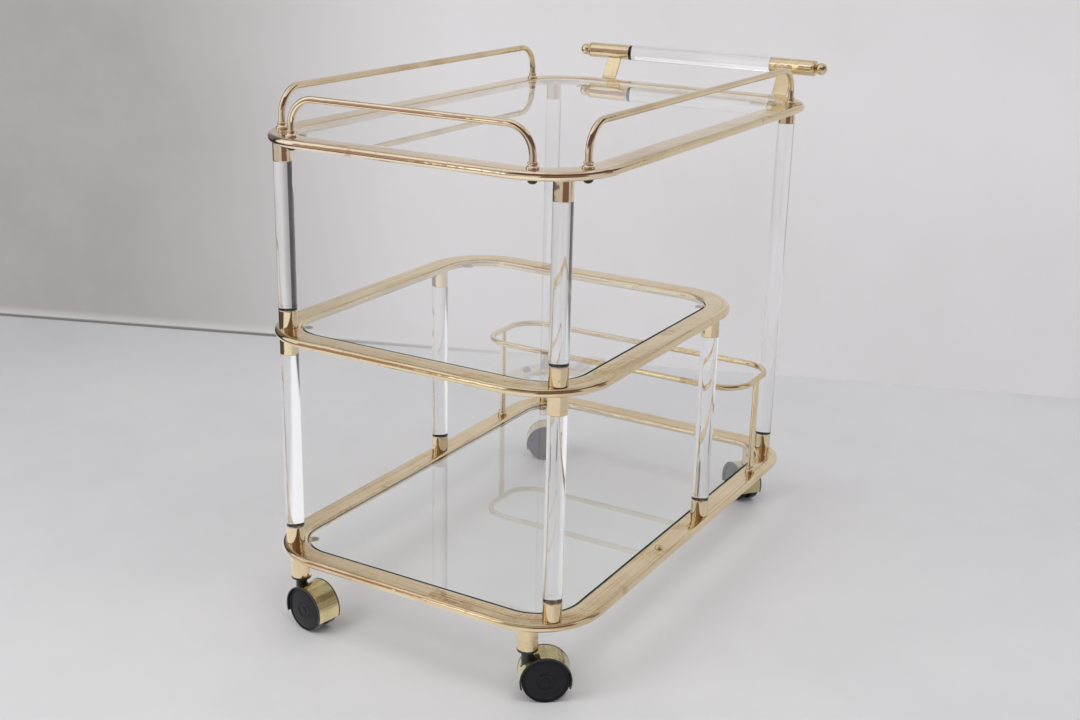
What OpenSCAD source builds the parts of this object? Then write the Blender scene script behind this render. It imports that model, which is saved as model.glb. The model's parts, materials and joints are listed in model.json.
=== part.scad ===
// Dessert trolley: three brass tier frames with glass shelves on clear acrylic
// posts, gallery rails, a push handle, a bottle rack and four twin-wheel casters.
// +x points to the handle, the rear end. +z is up, and the floor is at z = 0.

/* [Frames] */
// Length of the top and bottom frames over their tubes
frame_l = 774; // [660:1:900]
// Width of all three frames over their tubes
frame_w = 496; // [440:1:600]
// Length of the middle frame over its tubes
mid_l = 533; // [440:1:570]
// Radius of a frame's corner bends, to the middle of the tube
corner_r = 79; // [66:1:100]
// Width of the flat-oval frame tube
bar_w = 36; // [32:0.5:42]
// Thickness of the flat-oval frame tube
bar_t = 12; // [11:0.5:16]
// Wall of the frame tube
bar_wall = 1.5; // [1:0.1:2.5]

/* [Tier heights] */
// Clear height between the bottom and middle frames
low_bay = 300; // [220:1:380]
// Clear height between the middle and top frames
high_bay = 247; // [180:1:320]

/* [Posts] */
// Diameter of the acrylic posts and of their brass ferrules
post_d = 25; // [22:0.5:30]
// Length of a ferrule
ferrule_l = 24.5; // [22:0.5:40]
// Diameter of the tenon turned on each end of a rod
tenon_d = 20; // [16:0.5:21]
// Length of a post's tenon
tenon_l = 10; // [6:0.5:11]
// Diameter of the studs that hold the ferrules
stud_d = 8; // [6:0.5:10]
// Length of stud screwed into a ferrule
stud_grip = 11; // [8:0.5:12]
// How far the short middle posts stand in from the middle frame's rear end
short_post_in = 101.5; // [70:0.5:140]
// Diameter of the button heads under the bottom frame
button_d = 14; // [12:0.5:18]
// Height of the button heads
button_h = 2.4; // [1.5:0.1:4]

/* [Glass shelves] */
// Thickness of the glass
glass_t = 5; // [4:0.5:5.5]
// Gap between a glass and the tube around it
glass_gap = 1; // [0.5:0.1:2]
// How far the glass lies below the top of its frame
glass_drop = 1; // [0.5:0.1:3.5]
// Width of a shelf tab
tab_w = 14; // [10:0.5:20]
// Thickness of a shelf tab
tab_t = 1.6; // [1:0.1:2]
// How far a tab reaches in under the glass
tab_reach = 14; // [11:0.5:20]
// Diameter of the rubber pad on a tab
pad_d = 8; // [6:0.5:9]
// Thickness of the rubber pad
pad_t = 1; // [0.6:0.1:1.2]
// Where a tab sits on its corner bend, from the x axis
tab_angle = 60; // [30:1:75]

/* [Gallery rails] */
// Diameter of the rail rod
rail_d = 9; // [7:0.5:11]
// Height of the middle of the side rails above the top frame
rail_h = 51; // [46:0.5:80]
// Height of the middle of the front rail above the top frame
front_rail_h = 48.5; // [45:0.5:80]
// Radius of a rail's bends, to the middle of the rod
rail_bend_r = 35; // [15:1:36]
// Where the front rail's feet stand on the corner bends, from the x axis
front_rail_angle = 18; // [5:1:24]
// Where the side rails' front feet stand on the corner bends
side_rail_front_angle = 65; // [64:1:80]
// Where the side rails' rear feet stand on the corner bends
side_rail_rear_angle = 77; // [66:1:85]
// Diameter of the collar round a rail's foot
collar_d = 16; // [13:0.5:17]
// Height of the collar
collar_h = 8; // [4:0.5:9]
// Diameter of the threaded end of a rail
rail_stud_d = 6; // [5:0.5:6.5]
// Diameter of the dark cap nuts under the frames
nut_d = 15.5; // [12:0.5:17]
// Height of the cap nuts
nut_h = 6; // [5:0.5:8]

/* [Push handle] */
// How far the middle of the handle lies beyond the frames' rear end
handle_out = 81.4; // [65:0.1:110]
// Height of the middle of the handle above the top frame
handle_rise = 34; // [28:0.5:60]
// Visible length of the clear rod
handle_rod_l = 255.4; // [220:0.1:300]
// Diameter of the clear rod and the brass sleeves
sleeve_d = 24.5; // [23.5:0.5:30]
// Length of a sleeve
sleeve_l = 73; // [55:0.5:90]
// Length of the rod's tenon inside a sleeve
handle_tenon_l = 30; // [15:0.5:40]
// Diameter of the ball finials
ball_d = 19; // [15:0.5:22]
// Width of a handle bracket
bracket_w = 25; // [16:0.5:32]
// Thickness of a handle bracket
bracket_t = 3; // [2:0.5:4]
// Distance of each bracket from the trolley's middle line
bracket_y = 154; // [150:1:158]
// Radius of the bracket's bend, to the middle of the strip
bracket_bend_r = 20; // [8:0.5:24]
// Slope of the bracket's upper leg
bracket_slope = 60; // [55:1:68]
// How far a bracket laps the frame tube
bracket_lap = 35; // [28:0.5:36]
// Diameter of the bracket screws
screw_d = 4; // [3:0.5:5]

/* [Bottle rack] */
// Diameter of the ring's rod
ring_d = 9; // [6:0.5:10]
// Size of the ring along x, to the middle of its rod
ring_l = 134; // [110:1:160]
// Radius of the ring's corners, to the middle of its rod
ring_corner_r = 45; // [20:1:52]
// Height of the middle of the ring above the bottom frame
ring_z = 154; // [80:1:200]
// How far the rack's uprights stand in from the frames' rear end
rack_in = 150; // [130:1:190]
// Diameter of the uprights
upright_d = 9; // [9:0.5:12]
// Height of the collar round an upright's foot
upright_collar_h = 10; // [5:0.5:14]

/* [Dome stud] */
// Distance of the dome stud from the frames' front end
dome_x = 297; // [200:1:380]
// Diameter of the dome stud
dome_d = 11.5; // [8:0.5:14]
// Height of the dome stud
dome_h = 5; // [3:0.5:7]

/* [Casters] */
// Wheel diameter
wheel_d = 62; // [50:1:64]
// Width of one wheel
wheel_w = 14; // [12:0.5:18]
// Distance of the wheel axle behind the swivel axis
trail = 23; // [20:0.5:25]
// Height of the neck's top above the wheel axle
neck_rise = 37.2; // [36:0.1:44]
// Diameter of the neck
neck_d = 15.5; // [14:0.5:18]
// Thickness of the web between the wheels
web_t = 7; // [6:0.5:10]
// Gap between the web and a wheel
web_gap = 0.5; // [0.4:0.1:1.2]
// Gap between the wheels and the hood's shell
hood_gap = 0.8; // [0.6:0.1:2]
// Wall of the shell under the hood
shell_t = 1; // [0.8:0.1:1.5]
// Height of the black rims round the shell
rim_h = 2; // [1.5:0.1:3]
// Width of each rim
rim_w = 1.6; // [1:0.1:2.5]
// Thickness of the brass hood
hood_t = 0.7; // [0.5:0.1:1]
// How far the hood reaches below the axle on each side, as an angle
hood_drop = 19; // [0:1:25]
// Diameter of the wheel axle
axle_d = 6; // [5:0.5:8]
// Diameter of the swivel stem
stem_d = 10; // [8:0.5:11]
// Running clearance round an axle or stem, on the radius
run_fit = 0.05; // [0.02:0.01:0.1]
// Outer diameter of a caster socket
socket_d = 27; // [26:0.5:30]
// Inner diameter of a caster socket
socket_bore = 20; // [18:0.5:21]
// Length of a caster socket below the frame
socket_l = 29; // [24:0.5:40]
// Thickness of the black flange below the socket
flange_t = 2.5; // [2:0.5:5]
// Where the left sockets sit on their corner bends, from the x axis
left_socket_angle = 22; // [18:1:28]
// Where the right sockets sit on their corner bends
right_socket_angle = 27; // [18:1:28]

/* [Hidden] */
$fn = 96;
corners = ["front_left", "front_right", "rear_left", "rear_right"];
caster_pieces = ["stem", "yoke", "hood", "axle", "wheel_a", "wheel_b"];
posts = ["front_left_upper_post", "front_right_upper_post", "front_left_lower_post",
    "front_right_lower_post", "middle_left_post", "middle_right_post",
    "rear_left_post", "rear_right_post"];

brass = "#cdb078";
hood_brass = "#b8a468";
acrylic = [0.85, 0.88, 0.92, 0.5];
glass = [0.70, 0.82, 0.80, 0.5];
black = "#1c1c1e";
steel = "#a9abad";

// clearance of a glued, brazed or screwed fit, on the radius
fit = 0.1;
// clearance that keeps a turning face off a still one
face_gap = 0.3;

// places along x: the frames and the handle together are centred on the origin
frame_x = -(handle_out + sleeve_d / 2) / 2;
front_x = frame_x - frame_l / 2;
rear_x = frame_x + frame_l / 2;
mid_x = front_x + mid_l / 2;
short_post_x = front_x + mid_l - short_post_in;
rack_x = rear_x - rack_in;
handle_x = rear_x + handle_out;

// middle line of the frame tube across the trolley, and the middle of its corner bends
bar_y = (frame_w - bar_w) / 2;
arc_x = (frame_l - bar_w) / 2 - corner_r;
arc_y = bar_y - corner_r;
side_rail_y = arc_y + corner_r * sin((2 * side_rail_front_angle + side_rail_rear_angle) / 3);

// heights of the undersides and tops of the frames
axle_z = wheel_d / 2;
neck_z = axle_z + neck_rise;
flange_z = neck_z + face_gap;
socket_z = flange_z + flange_t;
low_z = socket_z + socket_l;
low_top = low_z + bar_t;
mid_z = low_top + low_bay;
mid_top = mid_z + bar_t;
high_z = mid_top + high_bay;
high_top = high_z + bar_t;
ring_height = low_top + ring_z;

// casters: radii round the axle, and the clear way across the wheels
shell_r = wheel_d / 2 + hood_gap;
hood_r = shell_r + shell_t;
rim_r = shell_r + rim_h;
wheels_half = web_t / 2 + web_gap + wheel_w;
hood_half = wheels_half + 1;
hood_angle = 180 + 2 * hood_drop;
// heights of the neck's foot in the shell's wall and of the stem's foot in the neck
neck_foot = axle_z - 2 + sqrt(max(0, pow(hood_r, 2) - pow(trail + neck_d / 2, 2)));
stem_foot = axle_z + 1.5 + sqrt(pow(shell_r, 2) - pow(trail - stem_d / 2, 2));
// swing of each caster about its stem, as it stands: front left, front right, rear left, rear right
caster_turn = [-55, -100, 52, 120];

// a point on the middle line of a corner bend: side_x is -1 at the front and 1 at
// the rear, side_y is -1 on the left and 1 on the right
function on_corner(side_x, side_y, angle) =
    [frame_x + side_x * (arc_x + corner_r * cos(angle)), side_y * (arc_y + corner_r * sin(angle))];
function corner_side(corner) = [corner < 2 ? -1 : 1, corner % 2 == 0 ? -1 : 1];
function at_corner(corner, angle) = on_corner(corner_side(corner).x, corner_side(corner).y, angle);
function quarter(side_x, side_y) = side_y > 0 ? (side_x > 0 ? 0 : 90) : (side_x > 0 ? 270 : 180);
// a quarter of an ellipse, from the rim of a dome to its top
function dome_outline(radius, height, base, steps = 8) =
    [for (i = [0:steps]) [radius * cos(90 * i / steps), base + height * sin(90 * i / steps)]];

post_angle = 44;
front_posts = [for (side = [-1, 1]) on_corner(-1, side, post_angle)];
rear_posts = [for (side = [-1, 1]) on_corner(1, side, post_angle)];
short_posts = [for (side = [-1, 1]) [short_post_x, side * bar_y]];
rack_feet = [for (side = [-1, 1]) [rack_x, side * bar_y]];
sockets = [for (corner = [0:3]) at_corner(corner, corner % 2 == 0 ? left_socket_angle : right_socket_angle)];
front_rail_feet = [for (side = [-1, 1]) on_corner(-1, side, front_rail_angle)];
side_rail_from = on_corner(-1, 1, side_rail_front_angle).x;
side_rail_to = on_corner(1, 1, side_rail_rear_angle).x;
side_rail_feet = [for (x = [side_rail_from, side_rail_to], side = [-1, 1]) [x, side * side_rail_y]];
rail_feet = concat(front_rail_feet, side_rail_feet);

// the two screws of a bracket, counted from the frame tube's middle line
screw_pitch = 14;
screw_h = 2.2;
screw_reach = 5;
bracket_holes = [for (side = [-1, 1], step = [-1, 1])
    [rear_x - bar_w / 2 + step * screw_pitch / 2, side * bracket_y]];

module at(points, z = 0) {
    for (point = points) translate([point.x, point.y, z]) children();
}

// closed loop of tube round a rounded rectangle; the sizes are to the middle of the
// tube, and children() is its section, with x pointing out of the loop
module loop(l, w, r) {
    for (side_x = [-1, 1], side_y = [-1, 1])
        translate([side_x * (l / 2 - r), side_y * (w / 2 - r), 0])
            rotate([0, 0, quarter(side_x, side_y)])
                rotate_extrude(angle = 90) translate([r, 0]) children();
    for (side = [-1, 1]) {
        translate([r - l / 2, side * w / 2, 0]) rotate([90, 0, 90])
            linear_extrude(l - 2 * r) children();
        translate([side * l / 2, w / 2 - r, 0]) rotate([90, 0, 0])
            linear_extrude(w - 2 * r) children();
    }
}

module flat_oval(w, t) {
    square([w - t, t], center = true);
    for (side = [-1, 1]) translate([side * (w - t) / 2, 0]) circle(d = t);
}

// the outside of a frame tube, grown by a clearance, resting on z = 0
module frame_outside(l, grow = 0) {
    translate([0, 0, bar_t / 2])
        loop(l - bar_w, frame_w - bar_w, corner_r)
            flat_oval(bar_w + 2 * grow, bar_t + 2 * grow);
}

// flat plate with rounded corners
module plate(l, w, r, t) {
    translate([-l / 2 + r, -w / 2, 0]) cube([l - 2 * r, w, t]);
    for (x = [-l / 2, l / 2 - r]) translate([x, r - w / 2, 0]) cube([r, w - 2 * r, t]);
    for (side_x = [-1, 1], side_y = [-1, 1])
        translate([side_x * (l / 2 - r), side_y * (w / 2 - r), 0])
            rotate([0, 0, quarter(side_x, side_y)])
                rotate_extrude(angle = 90) square([r, t]);
}

// upside-down U of round rod along x, with its feet on z = 0
module hoop(span, rise, r, d) {
    for (side = [-1, 1]) {
        translate([side * span / 2, 0, 0]) cylinder(h = rise - r, d = d);
        translate([side * (span / 2 - r), 0, rise - r])
            rotate([90, 0, 0]) rotate([0, 0, side > 0 ? 0 : 90])
                rotate_extrude(angle = 90) translate([r, 0]) circle(d = d);
    }
    translate([r - span / 2, 0, rise]) rotate([0, 90, 0]) cylinder(h = span - 2 * r, d = d);
}

module sleeve_ring(outer, inner, h) {
    difference() {
        cylinder(h = h, d = outer);
        translate([0, 0, -1]) cylinder(h = h + 2, d = inner);
    }
}

// a hollow frame with its through holes; children() are the holes
module frame(l, x, z) {
    color(brass) difference() {
        translate([x, 0, z]) frame_outside(l);
        translate([x, 0, z + bar_t / 2])
            loop(l - bar_w, frame_w - bar_w, corner_r)
                flat_oval(bar_w - 2 * bar_wall, bar_t - 2 * bar_wall);
        children();
    }
}

// holes through the lower wall of a tube, or right through it
module low_holes(points, z, d) {
    at(points, z - 1) cylinder(h = bar_t / 2 + 1, d = d + 2 * fit);
}
module through_holes(points, z, d) {
    at(points, z - 1) cylinder(h = bar_t + 2, d = d + 2 * fit);
}

module top_frame() {
    frame(frame_l, frame_x, high_z) {
        low_holes(concat(front_posts, rear_posts), high_z, stud_d);
        through_holes(rail_feet, high_z, rail_stud_d);
        low_holes(bracket_holes, high_z, screw_d);
    }
}

module middle_frame() {
    frame(mid_l, mid_x, mid_z) {
        through_holes(front_posts, mid_z, stud_d);
        low_holes(short_posts, mid_z, stud_d);
    }
}

module bottom_frame() {
    frame(frame_l, frame_x, low_z) {
        through_holes(concat(front_posts, short_posts, rear_posts), low_z, stud_d);
        through_holes(rack_feet, low_z, rail_stud_d);
        translate([front_x + dome_x, -bar_y, low_z + bar_t / 2])
            cylinder(h = bar_t, d = dome_spigot_d + 2 * fit);
    }
}

// a glass shelf, sunk into its frame whose top is at z
module shelf_glass(l, x, z) {
    inset = bar_w + glass_gap;
    color(glass) translate([x, 0, z - glass_drop - glass_t])
        plate(l - 2 * inset, frame_w - 2 * inset, corner_r + bar_w / 2 - inset, glass_t);
}

// children() at the four inner corners of a frame, with +x pointing out at the tube
// and the origin on the tube's inner edge
module at_tabs(l, x, z) {
    for (side_x = [-1, 1], side_y = [-1, 1])
        translate([x + side_x * ((l - bar_w) / 2 - corner_r), side_y * arc_y, z])
            mirror([side_x < 0 ? 1 : 0, 0, 0]) mirror([0, side_y < 0 ? 1 : 0, 0])
                rotate([0, 0, tab_angle]) translate([corner_r - bar_w / 2, 0, 0]) children();
}

module each_frame_tabs() {
    at_tabs(frame_l, frame_x, high_top) children();
    at_tabs(mid_l, mid_x, mid_top) children();
    at_tabs(frame_l, frame_x, low_top) children();
}

tab_top = -glass_drop - glass_t - pad_t;

module shelf_tabs() {
    color(brass) difference() {
        each_frame_tabs()
            translate([-tab_reach, -tab_w / 2, tab_top - tab_t])
                cube([tab_reach + bar_t / 2, tab_w, tab_t]);
        translate([frame_x, 0, high_z]) frame_outside(frame_l, fit / 2);
        translate([mid_x, 0, mid_z]) frame_outside(mid_l, fit / 2);
        translate([frame_x, 0, low_z]) frame_outside(frame_l, fit / 2);
    }
}

module shelf_pads() {
    color(black) each_frame_tabs()
        translate([-tab_reach + pad_d / 2 + 1, 0, tab_top]) cylinder(h = pad_t, d = pad_d);
}

// a clear rod between two ferrules, with its tenons
module post(point, z, bay) {
    color(acrylic) translate([point.x, point.y, z]) {
        translate([0, 0, ferrule_l]) cylinder(h = bay - 2 * ferrule_l, d = post_d);
        translate([0, 0, ferrule_l - tenon_l])
            cylinder(h = bay - 2 * (ferrule_l - tenon_l), d = tenon_d);
    }
}

tall_bay = high_z - low_top;

// a ferrule standing on z = 0 with its mouth up
module ferrule() {
    lead = 0.4;
    difference() {
        rotate_extrude() polygon([[0, 0], [post_d / 2 - lead, 0], [post_d / 2, lead],
            [post_d / 2, ferrule_l], [0, ferrule_l]]);
        translate([0, 0, ferrule_l - tenon_l - fit]) cylinder(h = ferrule_l, d = tenon_d + 2 * fit);
        translate([0, 0, -1]) cylinder(h = stud_grip + fit + 1, d = stud_d + 2 * fit);
    }
}

// the two ferrules of each post in a bay
module ferrule_pairs(points, z, bay) {
    at(points, z) {
        ferrule();
        translate([0, 0, bay]) mirror([0, 0, 1]) ferrule();
    }
}

module post_ferrules() {
    color(brass) {
        ferrule_pairs(front_posts, mid_top, high_bay);
        ferrule_pairs(front_posts, low_top, low_bay);
        ferrule_pairs(short_posts, low_top, low_bay);
        ferrule_pairs(rear_posts, low_top, tall_bay);
    }
}

module stud(z_from, z_to) {
    translate([0, 0, z_from]) cylinder(h = z_to - z_from, d = stud_d);
}

module post_studs() {
    color(steel) {
        at(concat(front_posts, short_posts, rear_posts)) {
            stud(low_z, low_top + stud_grip);
            translate([0, 0, low_z - button_h])
                rotate_extrude() polygon([[0, 0], [button_d / 3, 0], [button_d / 2, button_h / 2],
                    [button_d / 2, button_h], [0, button_h]]);
        }
        at(front_posts) stud(mid_z - stud_grip, mid_top + stud_grip);
        at(short_posts) stud(mid_z - stud_grip, mid_top - bar_wall);
        at(concat(front_posts, rear_posts)) stud(high_z - stud_grip, high_top - bar_wall);
    }
}

nut_depth = 3.5;

// the threaded end of a rail or upright, below its frame's top at z = 0
module threaded_end() {
    translate([0, 0, -bar_t - nut_depth]) cylinder(h = bar_t + nut_depth, d = rail_stud_d);
}

module front_rail() {
    foot = front_rail_feet[1];
    color(brass) translate([foot.x, 0, high_top]) rotate([0, 0, 90]) {
        hoop(2 * foot.y, front_rail_h, rail_bend_r, rail_d);
        for (side = [-1, 1]) translate([side * foot.y, 0, 0]) threaded_end();
    }
}

module side_rail(side) {
    span = side_rail_to - side_rail_from;
    color(brass)
        translate([(side_rail_from + side_rail_to) / 2, side * side_rail_y, high_top]) {
            hoop(span, rail_h, rail_bend_r, rail_d);
            for (end = [-1, 1]) translate([end * span / 2, 0, 0]) threaded_end();
        }
}

module left_rail() { side_rail(-1); }
module right_rail() { side_rail(1); }

module rail_collars() {
    color(brass) at(rail_feet, high_top) sleeve_ring(collar_d, rail_d + 2 * fit, collar_h);
}

// low cap nut hanging from z = 0
module cap_nut() {
    brim = 2;
    mirror([0, 0, 1]) difference() {
        rotate_extrude() polygon(concat([[0, 0], [nut_d / 2, 0]],
            dome_outline(nut_d / 2, nut_h - brim, brim)));
        translate([0, 0, -1]) cylinder(h = nut_depth + fit + 1, d = rail_stud_d + 2 * fit);
    }
}

module cap_nuts() {
    color(black) {
        at(rail_feet, high_z) cap_nut();
        at(rack_feet, low_z) cap_nut();
    }
}

// children() with their z axis along the handle, from its middle out to each side
module along_handle() {
    for (side = [-1, 1])
        translate([handle_x, 0, high_top + handle_rise]) rotate([-90 * side, 0, 0]) children();
}

sleeve_bore = tenon_d + 2 * fit;

module handle_rod() {
    color(acrylic) along_handle() {
        cylinder(h = handle_rod_l / 2, d = sleeve_d);
        cylinder(h = handle_rod_l / 2 + handle_tenon_l, d = tenon_d);
    }
}

module handle_sleeves() {
    color(brass) along_handle() translate([0, 0, handle_rod_l / 2])
        sleeve_ring(sleeve_d, sleeve_bore, sleeve_l);
}

// turned finial: a spigot in the sleeve, a beaded flange, a neck and a ball
module handle_finials() {
    spigot_l = 8;
    flange_h = 2.6;
    neck_h = 1.2;
    neck_r = 0.3 * ball_d;
    ball_z = flange_h + neck_h + sqrt(pow(ball_d / 2, 2) - neck_r * neck_r);
    color(brass) along_handle() translate([0, 0, handle_rod_l / 2 + sleeve_l]) {
        translate([0, 0, -spigot_l]) cylinder(h = spigot_l, d = tenon_d);
        rotate_extrude() polygon([[0, 0], [sleeve_d / 2, 0], [sleeve_d / 2, flange_h / 2],
            [0.42 * sleeve_d, flange_h], [0, flange_h]]);
        cylinder(h = ball_z, r = neck_r);
        translate([0, 0, ball_z]) sphere(d = ball_d);
    }
}

// bent strip: a foot under the frame tube, a bend and a leg up to the sleeve
module bracket() {
    foot_z = high_z - bracket_t / 2;
    leg_rise = high_top + handle_rise - foot_z;
    tangent = bracket_bend_r * tan(bracket_slope / 2);
    bend_x = handle_x - leg_rise / tan(bracket_slope) - tangent;
    bend_z = foot_z + bracket_bend_r;
    leg_l = leg_rise / sin(bracket_slope) - tangent;
    steps = 15;
    // one face of the strip round the bend and up the leg, at a radius
    function face(r) = concat(
        [for (i = [0:steps]) [bend_x + r * sin(bracket_slope * i / steps),
            bend_z - r * cos(bracket_slope * i / steps)]],
        [[bend_x + r * sin(bracket_slope) + leg_l * cos(bracket_slope),
            bend_z - r * cos(bracket_slope) + leg_l * sin(bracket_slope)]]);
    inner = face(bracket_bend_r - bracket_t / 2);
    difference() {
        rotate([90, 0, 0]) linear_extrude(bracket_w, center = true)
            polygon(concat([[rear_x - bracket_lap, high_z - bracket_t]],
                face(bracket_bend_r + bracket_t / 2),
                [for (i = [steps + 1:-1:0]) inner[i]],
                [[rear_x - bracket_lap, high_z]]));
        translate([handle_x, bracket_w, high_top + handle_rise]) rotate([90, 0, 0])
            cylinder(h = 2 * bracket_w, d = sleeve_d + fit);
        for (step = [-1, 1])
            translate([rear_x - bar_w / 2 + step * screw_pitch / 2, 0, high_z - 2 * bracket_t])
                cylinder(h = 3 * bracket_t, d = screw_d + 2 * fit);
    }
}

module handle_brackets() {
    color(brass) for (side = [-1, 1]) translate([0, side * bracket_y, 0]) bracket();
}

module bracket_screws() {
    color(steel) at(bracket_holes, high_z - bracket_t) {
        cylinder(h = bracket_t + screw_reach, d = screw_d);
        translate([0, 0, -screw_h]) cylinder(h = screw_h, d = 2 * screw_d);
    }
}

module rack_ring() {
    color(brass) translate([rack_x, 0, ring_height])
        loop(ring_l, 2 * bar_y, ring_corner_r) circle(d = ring_d);
}

module rack_uprights() {
    color(brass) difference() {
        at(rack_feet, low_top) {
            cylinder(h = ring_z - ring_d / 4, d = upright_d);
            threaded_end();
        }
        for (side = [-1, 1])
            translate([rack_x - upright_d, side * bar_y, ring_height]) rotate([0, 90, 0])
                cylinder(h = 2 * upright_d, d = ring_d + fit);
    }
}

module rack_collars() {
    color(brass) at(rack_feet, low_top)
        sleeve_ring(collar_d, upright_d + 2 * fit, upright_collar_h);
}

dome_spigot_d = 5;

module dome_stud() {
    edge = 1;
    color(brass) translate([front_x + dome_x, -bar_y, low_top]) {
        rotate_extrude() polygon(concat([[0, 0], [dome_d / 2, 0]],
            dome_outline(dome_d / 2, dome_h - edge, edge)));
        translate([0, 0, -bar_t / 2]) cylinder(h = bar_t / 2 + edge, d = dome_spigot_d);
    }
}

module caster_sockets() {
    color(brass) at(sockets, socket_z) sleeve_ring(socket_d, socket_bore, socket_l);
}

// length of a bush's plug inside its socket
plug_l = socket_l - 6;

module caster_bushes() {
    color(black) at(sockets, flange_z) difference() {
        union() {
            cylinder(h = flange_t, d = socket_d + 0.5);
            cylinder(h = flange_t + plug_l, d = socket_bore - fit);
        }
        translate([0, 0, -1]) cylinder(h = flange_t + plug_l + 2, d = stem_d + 2 * run_fit);
    }
}

// children() in a caster's own axes: z on the stem, x towards the wheels
module at_caster(corner) {
    translate([sockets[corner].x, sockets[corner].y, 0])
        rotate([0, 0, caster_turn[corner]]) children();
}

// children() with their z axis on the wheel axle
module at_axle() {
    translate([trail, 0, axle_z]) rotate([90, 0, 0]) children();
}

// a pin held by its head above the bush
module stem(corner) {
    head_h = 2;
    top = flange_z + flange_t + plug_l + face_gap;
    color(steel) at_caster(corner) {
        translate([0, 0, stem_foot]) cylinder(h = top + head_h - stem_foot, d = stem_d);
        translate([0, 0, top]) cylinder(h = head_h, d = stem_d + 4);
    }
}

// moulded body: the neck on the stem, the web between the wheels, and the shell
// with its two rims that the hood lies in
module yoke(corner) {
    hub_r = axle_d / 2 + 5;
    // the web is open below, from just above the two ends of the shell
    side_x = rim_r * cos(hood_drop - 4);
    side_y = -rim_r * sin(hood_drop - 4);
    color(black) at_caster(corner) difference() {
        union() {
            difference() {
                translate([0, 0, neck_foot]) cylinder(h = neck_z - neck_foot, d = neck_d);
                at_axle() cylinder(h = 4 * neck_d, r = shell_r + shell_t / 2, center = true);
            }
            at_axle() {
                rotate([0, 0, -hood_drop]) rotate_extrude(angle = hood_angle)
                    polygon([[shell_r, -hood_half], [rim_r, -hood_half], [rim_r, rim_w - hood_half],
                        [hood_r, rim_w - hood_half], [hood_r, hood_half - rim_w],
                        [rim_r, hood_half - rim_w], [rim_r, hood_half], [shell_r, hood_half]]);
                difference() {
                    cylinder(h = web_t, r = shell_r + shell_t / 2, center = true);
                    linear_extrude(2 * web_t, center = true) polygon([[0, 0],
                        [side_x, side_y], [side_x, -rim_r], [-side_x, -rim_r], [-side_x, side_y]]);
                }
                cylinder(h = web_t + 2 * (web_gap - face_gap), r = hub_r, center = true);
            }
        }
        translate([0, 0, stem_foot]) cylinder(h = neck_z - stem_foot + 1, d = stem_d + 2 * fit);
        at_axle() cylinder(h = 2 * web_t, d = axle_d + 2 * run_fit, center = true);
    }
}

module hood(corner) {
    hood_fit = 0.1;
    color(hood_brass) at_caster(corner) difference() {
        at_axle() rotate([0, 0, -hood_drop]) rotate_extrude(angle = hood_angle)
            translate([hood_r + hood_fit / 2, rim_w + hood_fit - hood_half])
                square([hood_t, 2 * (hood_half - rim_w - hood_fit)]);
        cylinder(h = 3 * wheel_d, d = neck_d + 6 * fit);
    }
}

// counterbore of the wheels for the axle's heads
head_d = axle_d + 3;
head_h = 1.2;
head_sink = 1.8;

module axle(corner) {
    reach = wheels_half - head_sink;
    color(steel) at_caster(corner) at_axle() {
        cylinder(h = 2 * reach, d = axle_d, center = true);
        for (side = [-1, 1])
            translate([0, 0, side * (reach + face_gap + head_h / 2)])
                cylinder(h = head_h, d = head_d, center = true);
        cylinder(h = 2 * (reach + face_gap), d = axle_d, center = true);
    }
}

// one wheel: a rounded tread, a dished face and a counterbored hub
module wheel(corner, side) {
    r = wheel_d / 2;
    edge = 2;
    dish = 2;
    steps = 5;
    color(black) at_caster(corner) at_axle()
        mirror([0, 0, side > 0 ? 0 : 1]) translate([0, 0, web_t / 2 + web_gap])
            difference() {
                rotate_extrude() polygon(concat(
                    [[0, 0]],
                    [for (i = [0:steps]) [r - edge + edge * sin(90 * i / steps),
                        edge - edge * cos(90 * i / steps)]],
                    [for (i = [0:steps]) [r - edge + edge * cos(90 * i / steps),
                        wheel_w - edge + edge * sin(90 * i / steps)]],
                    [[0.8 * r, wheel_w], [0.76 * r, wheel_w - dish], [0.38 * r, wheel_w - dish],
                        [0.34 * r, wheel_w], [0, wheel_w]]));
                translate([0, 0, -1]) cylinder(h = wheel_w + 2, d = axle_d + 2 * run_fit);
                translate([0, 0, wheel_w - head_sink]) cylinder(h = head_sink + 1, d = head_d + 1);
            }
}

top_frame();
middle_frame();
bottom_frame();
shelf_glass(frame_l, frame_x, high_top);  // top_glass
shelf_glass(mid_l, mid_x, mid_top);  // middle_glass
shelf_glass(frame_l, frame_x, low_top);  // bottom_glass
shelf_tabs();
shelf_pads();
post(front_posts[0], mid_top, high_bay);  // front_left_upper_post
post(front_posts[1], mid_top, high_bay);  // front_right_upper_post
post(front_posts[0], low_top, low_bay);  // front_left_lower_post
post(front_posts[1], low_top, low_bay);  // front_right_lower_post
post(short_posts[0], low_top, low_bay);  // middle_left_post
post(short_posts[1], low_top, low_bay);  // middle_right_post
post(rear_posts[0], low_top, tall_bay);  // rear_left_post
post(rear_posts[1], low_top, tall_bay);  // rear_right_post
post_ferrules();
post_studs();
front_rail();
left_rail();
right_rail();
rail_collars();
cap_nuts();
handle_rod();
handle_sleeves();
handle_finials();
handle_brackets();
bracket_screws();
rack_ring();
rack_uprights();
rack_collars();
dome_stud();
caster_sockets();
caster_bushes();
for (corner = [0:3]) {
    stem(corner);
    yoke(corner);
    hood(corner);
    axle(corner);
    wheel(corner, 1);
    wheel(corner, -1);
}
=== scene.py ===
import json
import math

import bpy
from mathutils import Matrix, Vector


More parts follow.
